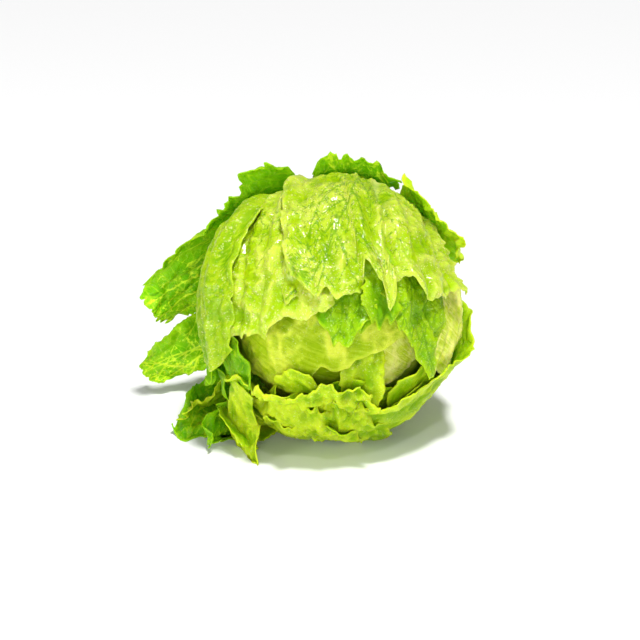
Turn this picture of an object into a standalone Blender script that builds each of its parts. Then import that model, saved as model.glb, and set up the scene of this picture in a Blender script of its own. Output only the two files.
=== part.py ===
"""A head of crisphead lettuce lying on its side, built leaf by leaf.

Run it with: blender --background --python part.py
The head rests on the table at z = 0. Its cut stem points to the back, and the open crown faces the front (-Y).
Every leaf is a thin sheet that starts at the stem, follows its own layer round the heart, and may leave it to
spread. Directions from the head's centre are (azimuth, elevation) in degrees: azimuth 0 is the front, 90 the
right (+X), -90 the left and 180 the back.
"""

import math

import bpy
import numpy as np

# Driving dimensions, in metres and degrees
HEART_RADIUS = 0.0610
HEART_TO_LEAVES = 0.0030
LEAF_THICKNESS = 0.0009
LAYER_GAP = 0.0013
STEM_RADIUS = 0.0150
STEM_STAND_OUT = 0.0050
STEM_CLEARANCE = 0.0017
STEM_BEVEL = 0.0015
STEM_AZIMUTH = 160.0
STEM_ELEVATION = -12.0
LEAF_BASE_HALF_WIDTH = 0.0100
LEAF_NECK_SHARE = 0.4
SLUMP_TOWARDS = (85.0, 38.0)
SLUMP_SHARE = 0.10
SLUMP_SPREAD = 34.0
SETTLE = 0.0035
TOUCH = 0.0004

LAYER_PITCH = LEAF_THICKNESS + LAYER_GAP
FIRST_LAYER_RADIUS = HEART_RADIUS + HEART_TO_LEAVES
UNDER_LAYER = 7
SPINE_SAMPLES = 161
CELL = 0.0110

# Each leaf: its layer, counted outwards from the heart, and along its midrib after the stem
#   path    directions that the midrib passes
#   left    half width on the left, in degrees of arc, seen from outside with the tip up
#   right   half width on the right
#   lift    how far it stands off its layer, as a share of the layer's radius
#   round   how round it is across: 1 follows the ball, 0 is flat
#   roll    how far it is turned about its midrib, in degrees, its left side outwards
#   tip     how far the tip edge falls short, from the left side to the right, in degrees of arc
#   wave    height of the ruffles at its sides, in metres, and how many there are
#   flare   how far the left and right margins stand off, as a share of the layer's radius
#   rest    height above the table of what would fall below it, in metres
LEAVES = {
    "heart_rib_leaf": {
        "layer": 1,
        "path": ((105, 6), (60, 12), (33, 4), (14, -24)),
        "left": (18, 22, 20, 16),
        "right": (18, 24, 22, 18),
        "tip": (10, 2, 0, 2, 10),
    },
    "heart_left_leaf": {
        "layer": 1,
        "path": ((-150, -20), (-100, -12), (-55, -14), (-14, -18)),
        "left": (20, 30, 32, 24),
        "right": (20, 32, 34, 26),
        "tip": (10, 2, 0, 2, 10),
    },
    "heart_fold_leaf": {
        "layer": 2,
        "path": ((150, -55), (20, -72), (8, -42), (8, -16)),
        "left": (18, 24, 22, 14),
        "right": (18, 24, 22, 14),
        "lift": (0, 0, 0, 0.02),
        "tip": (8, 3, 0, 3, 8),
    },
    "heart_front_leaf": {
        "layer": 3,
        "path": ((-165, 40), (-80, 70), (-22, 42), (-17, 2), (-16, -26)),
        "left": (26, 40, 46, 48, 42),
        "right": (26, 38, 42, 42, 38),
        "tip": (27, 22, 19, 19, 18, 11, 2, 0, 0),
    },
    "inner_top_leaf": {
        "layer": 4,
        "path": ((175, 40), (120, 76), (12, 50), (4, 8)),
        "left": (16, 20, 20, 14),
        "right": (16, 20, 20, 14),
        "tip": (8, 3, 0, 4, 9),
    },
    "inner_side_leaf": {
        "layer": 4,
        "path": ((122, -8), (90, -2), (62, -4), (43, -13)),
        "left": (12, 20, 18, 12),
        "right": (12, 20, 20, 14),
        "tip": (7, 2, 0, 3, 8),
    },
    "under_wrapper_leaf": {
        "layer": 5,
        "path": ((158, 35), (125, 66), (60, 58), (37, 26), (32, -2)),
        "left": (16, 24, 26, 24, 18),
        "right": (16, 22, 22, 18, 14),
        "tip": (8, 2, 0, 0, 4, 9, 14, 18, 22),
    },
    "inner_cup_leaf": {
        "layer": 5,
        "path": ((135, -40), (85, -54), (50, -44), (30, -29)),
        "left": (16, 20, 20, 16),
        "right": (16, 20, 20, 16),
        "tip": (7, 2, 0, 2, 7),
    },
    "left_wrapper_leaf": {
        "layer": 6,
        "path": ((178, 35), (-150, 62), (-60, 56), (-38, 28), (-34, -2)),
        "left": (20, 28, 30, 30, 28),
        "right": (20, 24, 24, 24, 22),
        "lift": (0, 0, 0, 0, 0.01),
        "tip": (20, 14, 14, 13, 7, 7, 6, 2, 0),
    },
    "right_cup_leaf": {
        "layer": 6,
        "path": ((128, -16), (98, -24), (72, -42), (30, -60), (-25, -60)),
        "left": (20, 26, 28, 26, 20),
        "right": (14, 18, 29, 32, 28),
        "tip": (12, 4, 0, 4, 12),
        "flare": (0, 0.12),
    },
    "front_cup_leaf": {
        "layer": 7,
        "path": ((165, -55), (-100, -78), (-25, -56), (-20, -22)),
        "left": (20, 30, 36, 34),
        "right": (20, 30, 34, 26),
        "lift": (0, 0, 0, 0.03),
        "tip": (12, 5, 1, 3, 6),
    },
    "top_wrapper_leaf": {
        "layer": 7,
        "path": ((152, 42), (100, 74), (34, 54), (27, 16)),
        "left": (26, 38, 42, 44),
        "right": (26, 36, 38, 40),
        "lift": (0, 0, 0, 0.02),
        "tip": (6, 6, 6, 5, 9, 3, 9, 9, 22),
    },
    "far_left_leaf": {
        "layer": 8,
        "path": ((-160, 12), (-128, 32), (-98, 30), (-84, 4), (-76, -24)),
        "left": (18, 24, 30, 31, 22),
        "right": (16, 20, 20, 16, 12),
        "lift": (0, 0, 0.01, 0.03, 0.06),
        "tip": (8, 2, 0, 2, 8),
    },
    "back_right_leaf": {
        "layer": 8,
        "path": ((138, 14), (116, 34), (95, 43), (79, 42)),
        "left": (16, 22, 24, 22),
        "right": (16, 22, 24, 22),
        "lift": (0, 0.01, 0.03, 0.07),
        "round": (1, 1, 0.9, 0.8),
        "tip": (8, 2, 0, 2, 8),
        "wave": (0.0015, 4),
    },
    "pointed_leaf": {
        "layer": 9,
        "path": ((-172, -36), (-122, -48), (-84, -53), (-60, -43), (-38, -44)),
        "left": (10, 12, 12, 11, 2),
        "right": (12, 14, 14, 11, 2),
        "lift": (0, 0.01, 0.03, 0.12, 0.24),
        "round": (1, 1, 0.8, 0.3, 0),
        "tip": (0, 0, 0),
        "rest": 0.0024,
    },
    "back_top_leaf": {
        "layer": 9,
        "path": ((172, 22), (170, 46), (165, 64), (161, 74)),
        "left": (14, 16, 16, 15),
        "right": (14, 16, 16, 15),
        "lift": (0, 0, 0.01, 0.09),
        "round": (1, 1, 0.9, 0.6),
        "tip": (7, 2, 0, 3, 8),
        "wave": (0.002, 4),
    },
    "back_left_leaf": {
        "layer": 10,
        "path": ((-165, 4), (-140, 10), (-118, 8), (-103, -2)),
        "left": (24, 46, 68, 62),
        "right": (20, 24, 22, 20),
        "lift": (0, 0, 0.15, 0.47),
        "round": (1, 0.9, 0.7, 0.6),
        "tip": (46, 44, 43, 41, 38, 33, 22, 6, 1, 0, 0, 0, 1, 4, 8),
        "wave": (0.004, 4),
    },
    "back_low_leaf": {
        "layer": 11,
        "path": ((-168, -14), (-138, -20), (-118, -23), (-108, -24)),
        "left": (16, 17, 12, 8),
        "right": (12, 11, 12, 14),
        "lift": (0, 0.03, 0.28, 0.68),
        "round": (1, 0.8, 0.3, 0.1),
        "tip": (6, 1, 0, 1, 6),
        "wave": (0.003, 3),
    },
    "floor_leaf": {
        "layer": 12,
        "path": ((180, -38), (-130, -44), (-92, -43), (-68, -43)),
        "left": (12, 12, 14, 19),
        "right": (16, 16, 16, 18),
        "lift": (0, 0, 0.10, 0.24),
        "round": (1, 0.7, 0.3, 0.1),
        "roll": (0, 6, 26, 40),
        "tip": (8, 2, 0, 3, 9),
        "wave": (0.002, 3),
    },
}
COLOURS = {
    "wrapper": (0.50, 0.73, 0.06),
    "heart": (0.48, 0.66, 0.05),
    "outer": (0.20, 0.50, 0.01),
    "stem": (0.78, 0.82, 0.55),
}


def direction(azimuth, elevation):
    """Unit vector from the head's centre; azimuth 0 is -Y and grows towards +X."""
    a, e = math.radians(azimuth), math.radians(elevation)
    return np.array([math.sin(a) * math.cos(e), -math.cos(a) * math.cos(e), math.sin(e)])


def unit(vectors):
    return vectors / np.linalg.norm(vectors, axis=-1, keepdims=True)


def layer_radius(layer):
    """Radius of a layer's middle surface; the first one clears the heart."""
    return FIRST_LAYER_RADIUS + LAYER_PITCH * (layer - 1)


def outer_radius(layer):
    return layer_radius(layer) + LEAF_THICKNESS / 2


CENTRE = np.array([0.0, 0.0, outer_radius(UNDER_LAYER) - SETTLE])
STEM = direction(STEM_AZIMUTH, STEM_ELEVATION)
LAST_LAYER = max(leaf["layer"] for leaf in LEAVES.values())


def steady_slopes(knots, values):
    """Slopes that keep a curve through the values from swinging past them."""
    chords = np.diff(values) / np.diff(knots)
    before, after = chords[:-1], chords[1:]
    same_way = before * after > 0
    inner = np.where(same_way, 2 * before * after / np.where(same_way, before + after, 1), 0)
    return np.r_[chords[0], inner, chords[-1]]


def through(knots, values, slopes, at):
    """A smooth curve through values at knots, read at the places in at."""
    i = np.clip(np.searchsorted(knots, at) - 1, 0, len(knots) - 2)
    span = knots[i + 1] - knots[i]
    s = (at - knots[i]) / span
    if values.ndim > 1:
        span, s = span[:, None], s[:, None]
    start = (2 * s**3 - 3 * s**2 + 1) * values[i] + (s**3 - 2 * s**2 + s) * span * slopes[i]
    end = (3 * s**2 - 2 * s**3) * values[i + 1] + (s**3 - s**2) * span * slopes[i + 1]
    return start + end


def spine(leaf):
    """The midrib as a table of columns against its length: points, tangents, normals, widths and roundness."""
    radius = layer_radius(leaf["layer"])
    path = np.array([STEM] + [direction(*place) for place in leaf["path"]])
    stations = len(path)
    base = math.degrees(LEAF_BASE_HALF_WIDTH / radius)
    neck = base * 1.1
    lift = np.array((0,) + leaf.get("lift", (0,) * (stations - 1)), float)
    roundness = np.array((1,) + leaf.get("round", (1,) * (stations - 1)), float)
    roll = np.radians((0,) + leaf.get("roll", (0,) * (stations - 1)))
    widths = np.radians([(base, neck) + leaf["left"], (base, neck) + leaf["right"]]).T * radius
    places = radius * (1 + lift)[:, None] * path
    knots = np.r_[0, np.cumsum(np.linalg.norm(np.diff(places, axis=0), axis=1))]
    width_knots = np.insert(knots, 1, LEAF_NECK_SHARE * knots[1])
    at = np.linspace(0, knots[-1], SPINE_SAMPLES)
    away = 1 + through(knots, lift, steady_slopes(knots, lift), at)
    points = radius * away[:, None] * unit(through(knots, path, np.gradient(path, knots, axis=0), at))
    length = np.r_[0, np.cumsum(np.linalg.norm(np.diff(points, axis=0), axis=1))]
    tangents = unit(np.gradient(points, length, axis=0))
    normals = [STEM]
    for tangent in tangents:
        turned = normals[-1] - (normals[-1] @ tangent) * tangent
        normals.append(turned / np.linalg.norm(turned))
    normals = np.array(normals[1:])
    angle = through(knots, roll, steady_slopes(knots, roll), at)[:, None]
    normals = normals * np.cos(angle) + np.cross(tangents, normals) * np.sin(angle)
    return {
        "length": length,
        "point": points,
        "tangent": tangents,
        "normal": normals,
        "width": np.interp(at, width_knots, widths[:, 0]),
        "width_right": np.interp(at, width_knots, widths[:, 1]),
        "curve": np.interp(at, knots, roundness) / (radius * away),
    }


def read(table, column, at):
    """A column of the spine's table at the lengths in at."""
    values = table[column]
    if values.ndim == 1:
        return np.interp(at, table["length"], values)
    return np.stack([np.interp(at, table["length"], values[:, k]) for k in range(3)], axis=-1)


def leaf_surface(leaf, u, v):
    """Points of the leaf's middle surface: u runs across from -1 to 1, and v from the stem, 0, to the tip, 1."""
    table = spine(leaf)
    radius = layer_radius(leaf["layer"])
    clear = STEM_RADIUS + STEM_CLEARANCE
    start = radius * math.asin(clear / radius)
    tip = np.radians(np.array(leaf["tip"], float)) * radius
    short = np.interp(u, np.linspace(-1, 1, len(tip)), tip)
    along = start + v * (table["length"][-1] - short - start)
    width = np.where(u < 0, read(table, "width", along), read(table, "width_right", along))
    across = u * width
    hug = clear - np.sqrt(np.maximum(clear**2 - across**2, 0))
    along = along - hug * (1 - v) ** 6
    height, count = leaf.get("wave", (0, 0))
    ruffle = height * np.abs(u) ** 2 * np.sin(2 * math.pi * count * v + 2 * u) * v**2
    curve = read(table, "curve", along)[:, None]
    normal = unit(read(table, "normal", along))
    side = unit(np.cross(read(table, "tangent", along), normal))
    x = across[:, None]
    sideways = x * np.sinc(curve * x / math.pi)
    inwards = curve * x**2 / 2 * np.sinc(curve * x / 2 / math.pi) ** 2
    out = normal * np.cos(curve * x) + side * np.sin(curve * x)
    left_flare, right_flare = leaf.get("flare", (0, 0))
    off = ruffle + np.where(u < 0, left_flare, right_flare) * np.abs(u) ** 4 * radius * np.sin(math.pi * v) ** 4
    points = read(table, "point", along) + side * sideways - normal * inwards + out * off[:, None]
    return CENTRE + slump(points)


def slump(points):
    """Draws in the side where the head has slumped, in the same share for every layer."""
    towards = np.clip(unit(points) @ direction(*SLUMP_TOWARDS), -1, 1)
    angle = np.degrees(np.arccos(towards))
    return points * (1 - SLUMP_SHARE * np.exp(-((angle / SLUMP_SPREAD) ** 2)))[:, None]


def settle(points, rest=0):
    """Pushes what would lie below the table up onto it, with the layers above it kept in order."""
    outward = np.linalg.norm(points - CENTRE, axis=1)
    floor = rest + np.maximum(layer_radius(UNDER_LAYER) - outward, 0) + LEAF_THICKNESS / 2
    settled = points.copy()
    settled[:, 2] = np.maximum(points[:, 2], floor)
    return settled


def coordinates(mesh):
    values = np.empty(len(mesh.vertices) * 3)
    mesh.vertices.foreach_get("co", values)
    return values.reshape(-1, 3)


def place_vertices(mesh, points):
    mesh.vertices.foreach_set("co", points.ravel())
    mesh.update()


def material(name):
    made = bpy.data.materials.get(name) or bpy.data.materials.new(name)
    made.use_nodes = True
    shader = made.node_tree.nodes["Principled BSDF"]
    shader.inputs["Base Color"].default_value = (*COLOURS[name], 1)
    shader.inputs["Roughness"].default_value = 0.45
    return made


def finish(obj, name, colour, collection):
    """Names the object, gives it its material, and moves it to the lettuce's collection."""
    obj.name = obj.data.name = name
    obj.data.materials.clear()
    obj.data.materials.append(material(colour))
    for old in list(obj.users_collection):
        old.objects.unlink(obj)
    collection.objects.link(obj)
    obj.data.shade_smooth()
    return obj


def applied(obj):
    """Applies the object's modifiers to its own mesh."""
    graph = bpy.context.evaluated_depsgraph_get()
    obj.data = bpy.data.meshes.new_from_object(obj.evaluated_get(graph))
    obj.modifiers.clear()


def make_leaf(name, leaf, colour, collection):
    table = spine(leaf)
    across = round(np.max(table["width"] + table["width_right"]) / CELL)
    along = round(table["length"][-1] / CELL)
    bpy.ops.mesh.primitive_grid_add(x_subdivisions=across, y_subdivisions=along, size=2)
    obj = bpy.context.active_object
    grid = coordinates(obj.data)
    surface = leaf_surface(leaf, grid[:, 0], (grid[:, 1] + 1) / 2)
    place_vertices(obj.data, settle(surface, leaf.get("rest", 0)))
    thickness = obj.modifiers.new("Thickness", "SOLIDIFY")
    thickness.thickness = LEAF_THICKNESS
    thickness.offset = 0
    applied(obj)
    points = coordinates(obj.data)
    points[points[:, 2] < TOUCH, 2] = 0
    place_vertices(obj.data, points)
    return finish(obj, name, colour, collection)


def make_heart(collection):
    """The tight ball of inner leaves, flattened below by the weight on it."""
    bpy.ops.mesh.primitive_uv_sphere_add(segments=32, ring_count=18, radius=HEART_RADIUS)
    obj = bpy.context.active_object
    place_vertices(obj.data, settle(CENTRE + slump(coordinates(obj.data))))
    return finish(obj, "heart", "heart", collection)


def make_stem(collection):
    """The cut stem, from the heart out past the leaf bases."""
    inner = FIRST_LAYER_RADIUS - HEART_TO_LEAVES / 2
    end = outer_radius(LAST_LAYER) + STEM_STAND_OUT
    bpy.ops.mesh.primitive_cylinder_add(vertices=32, radius=STEM_RADIUS, depth=end - inner)
    obj = bpy.context.active_object
    tilt_y = math.acos(STEM[2])
    tilt_z = math.atan2(STEM[1], STEM[0])
    obj.rotation_euler = (0, tilt_y, tilt_z)
    obj.location = CENTRE + STEM * (inner + end) / 2
    edge = obj.modifiers.new("Edge", "BEVEL")
    edge.width = STEM_BEVEL
    edge.segments = 2
    edge.limit_method = "ANGLE"
    return finish(obj, "cut_stem", "stem", collection)


def colour_of(name):
    if name.startswith("heart"):
        return "heart"
    if name.startswith(("back", "floor", "pointed")):
        return "outer"
    return "wrapper"


def main():
    for obj in list(bpy.data.objects):
        bpy.data.objects.remove(obj)
    collection = bpy.data.collections.new("lettuce_head")
    bpy.context.scene.collection.children.link(collection)
    make_heart(collection)
    make_stem(collection)
    for name, leaf in LEAVES.items():
        make_leaf(name, leaf, colour_of(name), collection)


main()
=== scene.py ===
"""Looks for a head of crisphead lettuce lying on its side: thin veined leaves in layers round a smooth heart.

Each leaf is modelled from a fine grid that lies where its solid lies. Its margin is torn and ruffled, its
blade is crumpled and veined, and its material is waxy, moist and slightly translucent. Sizes are in metres,
and directions from the head's centre are (azimuth, elevation) in degrees: azimuth 0 is the front (-Y), 90 the
right (+X), -90 the left and 180 the back.
"""

import math
from dataclasses import dataclass
from typing import NamedTuple

import bpy
import numpy as np
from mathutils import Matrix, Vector


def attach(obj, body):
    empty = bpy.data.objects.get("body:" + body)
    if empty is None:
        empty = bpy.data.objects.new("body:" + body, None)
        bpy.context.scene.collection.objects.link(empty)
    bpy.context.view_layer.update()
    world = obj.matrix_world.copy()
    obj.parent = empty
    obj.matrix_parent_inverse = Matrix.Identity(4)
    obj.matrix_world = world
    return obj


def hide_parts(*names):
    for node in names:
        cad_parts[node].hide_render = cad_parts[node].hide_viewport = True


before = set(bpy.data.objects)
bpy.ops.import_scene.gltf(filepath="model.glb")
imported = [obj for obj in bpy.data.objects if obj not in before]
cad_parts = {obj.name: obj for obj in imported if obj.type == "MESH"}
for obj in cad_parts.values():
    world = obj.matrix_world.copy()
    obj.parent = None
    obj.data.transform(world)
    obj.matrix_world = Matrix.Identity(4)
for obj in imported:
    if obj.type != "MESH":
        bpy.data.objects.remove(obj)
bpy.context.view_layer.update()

# The head, as the solids have it
HEART_RADIUS = 0.0610
HEART_TO_LEAVES = 0.0030
LAYER_PITCH = 0.0022
STEM_RADIUS = 0.0150
STEM_STAND_OUT = 0.0050
STEM_CLEARANCE = 0.0017
STEM_AZIMUTH = 160.0
STEM_ELEVATION = -12.0
LEAF_BASE_HALF_WIDTH = 0.0100
LEAF_NECK_SHARE = 0.4
SLUMP_TOWARDS = (85.0, 38.0)
SLUMP_SHARE = 0.10
SLUMP_SPREAD = 34.0
UNDER_LAYER = 7
LAST_LAYER = 12
SPINE_SAMPLES = 241
CENTRE = np.array([0.0, 0.0, 0.07415])

# How finely the leaves are made
BLADE_THICKNESS = 0.0006
FINE_CELL = 0.00095
PLAIN_CELL = 0.0013

# A leaf's neck against its base, and a flap's base and neck against its first half width
LEAF_NECK_GROWTH = 1.1
FLAP_BASE_SHARE = 0.8
FLAP_NECK_SHARE = 0.9

# The soft lumps that every layer shares, and what is left between the lowest leaf and the table
LUMP_HEIGHT = 0.0016
LUMPS_PER_RADIUS = 2.3
TABLE_GAP = 0.0001

# Sizes of the waves in a blade: its margin's lobes and teeth, its ruffles, and, as (across, along), its
# crumples and blisters
LOBE = 0.010
TOOTH = 0.0036
FINE_TOOTH = 0.0017
RUFFLE = 0.010
FINE_RUFFLE = 0.005
LONG_CRUMPLE = (0.013, 0.034)
PUCKER = (0.0085, 0.011)
BLISTER = (0.0052, 0.0052)

# How sharp the ridges and the tips of the lobes are: 1 gives straight sides, and less gives hollow ones
RIDGE_POWER = 0.8

# How far in from the margin the ruffles, the frills, the curl and the painted glow of the rim reach
RUFFLED_RIM = 0.015
FRILLED_RIM = 0.017
CURLED_RIM = 0.020
PAINTED_GLOW_RIM = 0.0034

# The least that is left of a torn blade, along and across
SHORTEST_BLADE = 0.008
NARROWEST_BLADE = 0.0008

# The rib that swells towards the stem, and the blisters between the veins against the crumples
RIB_HALF_WIDTH = 0.009
RIB_NARROWING = 0.92
RIB_HEIGHT = 0.0008
BLISTER_SHARE = 0.36

# The veins: steps along them, how far off they are marked, in half widths, and how many squares that takes
VEIN_STEP = 0.0008
VEIN_TO_BASE = 0.0005
VEIN_BEND = 0.004
VEIN_END_WIDTH = 0.45
VEIN_SHRINK = 0.55
VEIN_MARKED = 6.0
VEIN_SQUARES = 4

# The windings that show on the heart
WINDING_HEIGHT = 0.0008
WINDINGS_PER_RADIUS = 3.0

# The stem's soft ridges, rough cut and hollowed middle
STEM_CORNER = 0.0015
STEM_RIDGE_SHARE = 0.02
STEM_ROUGHNESS = 0.0004
STEM_HOLLOW = 0.0010
STEM_HOLLOW_WIDTH = 0.009

# The blade's flat coordinates are in tenths of a metre
FLAT_UNITS = 10

# The camera
VIEW_ELEVATION = 20.0
VIEW_DISTANCE = 0.75
VIEW_LENS = 71.5
AIM_LEFT = 0.0118
AIM_BELOW = 0.0077


def direction(azimuth, elevation):
    """Unit vector from the head's centre."""
    a, e = math.radians(azimuth), math.radians(elevation)
    return np.array([math.sin(a) * math.cos(e), -math.cos(a) * math.cos(e), math.sin(e)])


STEM = direction(STEM_AZIMUTH, STEM_ELEVATION)


def unit(vectors):
    return vectors / np.linalg.norm(vectors, axis=-1, keepdims=True)


def layer_radius(layer):
    return HEART_RADIUS + HEART_TO_LEAVES + LAYER_PITCH * (layer - 1)


def ease(low, high, value):
    """0 below low, 1 above high, and a smooth step between; high may be the smaller one."""
    t = np.clip((value - low) / (high - low), 0, 1)
    return t * t * (3 - 2 * t)


def bell(value, middle, width):
    return np.exp(-(((value - middle) / width) ** 2))


class Waves:
    """Smooth seeded noise between about -1 and 1, read at places given by one to three columns.

    Where one blade has several kinds of waves, a plain number added to their places keeps them unlike.
    """

    SIZE = 24
    GAIN = 1.6
    OCTAVE_SHIFT = 7.3

    def __init__(self, seed):
        self.table = np.random.default_rng(seed).uniform(-1, 1, (self.SIZE,) * 3)

    def __call__(self, *columns):
        columns = list(columns) + [0.5] * (3 - len(columns))
        columns = np.broadcast_arrays(*[np.asarray(c, float) for c in columns])
        cells = [np.floor(c).astype(int) for c in columns]
        parts = [c - f for c, f in zip(columns, cells)]
        parts = [p**3 * (p * (6 * p - 15) + 10) for p in parts]
        total = 0
        for corner in range(8):
            steps = [(corner >> axis) & 1 for axis in range(3)]
            weight = 1
            for part, step in zip(parts, steps):
                weight = weight * (part if step else 1 - part)
            place = tuple((c + step) % self.SIZE for c, step in zip(cells, steps))
            total = total + weight * self.table[place]
        return total * self.GAIN

    def rough(self, *columns, octaves=3):
        """Several sizes of waves on top of each other."""
        total = 0
        for octave in range(octaves):
            finer = [np.asarray(c) * 2**octave + self.OCTAVE_SHIFT * octave for c in columns]
            total = total + self(*finer) / 2**octave
        return total / self.GAIN


# ---- The leaves


@dataclass
class Leaf:
    """One leaf, or a flap: a lobe or a torn piece of a leaf, which starts away from the stem.

    Half widths and the tip's shortfall are in degrees of arc, heights and depths in metres. Path, left,
    right, lift, round and roll have one value for each place that the midrib runs through. Left and right
    are seen from outside, with the tip up.
    """

    layer: float
    finish: str
    path: tuple  # the directions of those places
    left: tuple  # half widths
    tip: tuple  # (place across from -1 to 1, how far the tip edge falls short there)
    torn: tuple  # depth of the lobes and of the teeth in its margin
    ruffle: float  # height of the waves along its margin
    crease: float  # height of the crumpling of its blade
    right: tuple = None  # half widths, where they aren't those on the left
    start: tuple = None  # a flap's own start; a leaf starts at the stem
    rise: float = 0  # lift at the start
    lift: tuple = None  # how far it stands off its layer, as a share of the layer's radius
    round: tuple = None  # 1 where it is as round as its layer, 0 where it is flat across
    roll: tuple = None  # turn about its midrib, in degrees
    rest: float = 0  # least height over the table
    cell: float = FINE_CELL  # size of its grid's squares
    vein_height: float = -0.0004  # sunk veins are below 0
    frill: tuple = (0, 0.012)  # height and length of the frills along its margin
    calm: tuple = (1, 1)  # how fully its left and its right edge are torn
    flare: tuple = (0, 0)  # how far its left and right edges stand off halfway, as a share of the radius
    curl: tuple = (0, 0, 0)  # how far its tip, left and right edges turn out from the head
    folds: tuple = ()  # pleats: (place across, half width across, height, start along, end along)

    def __post_init__(self):
        places = len(self.path)
        self.right = self.right or self.left
        self.lift = self.lift or (0,) * places
        self.round = self.round or (1,) * places
        self.roll = self.roll or (0,) * places

    @property
    def is_flap(self):
        return self.start is not None


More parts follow.
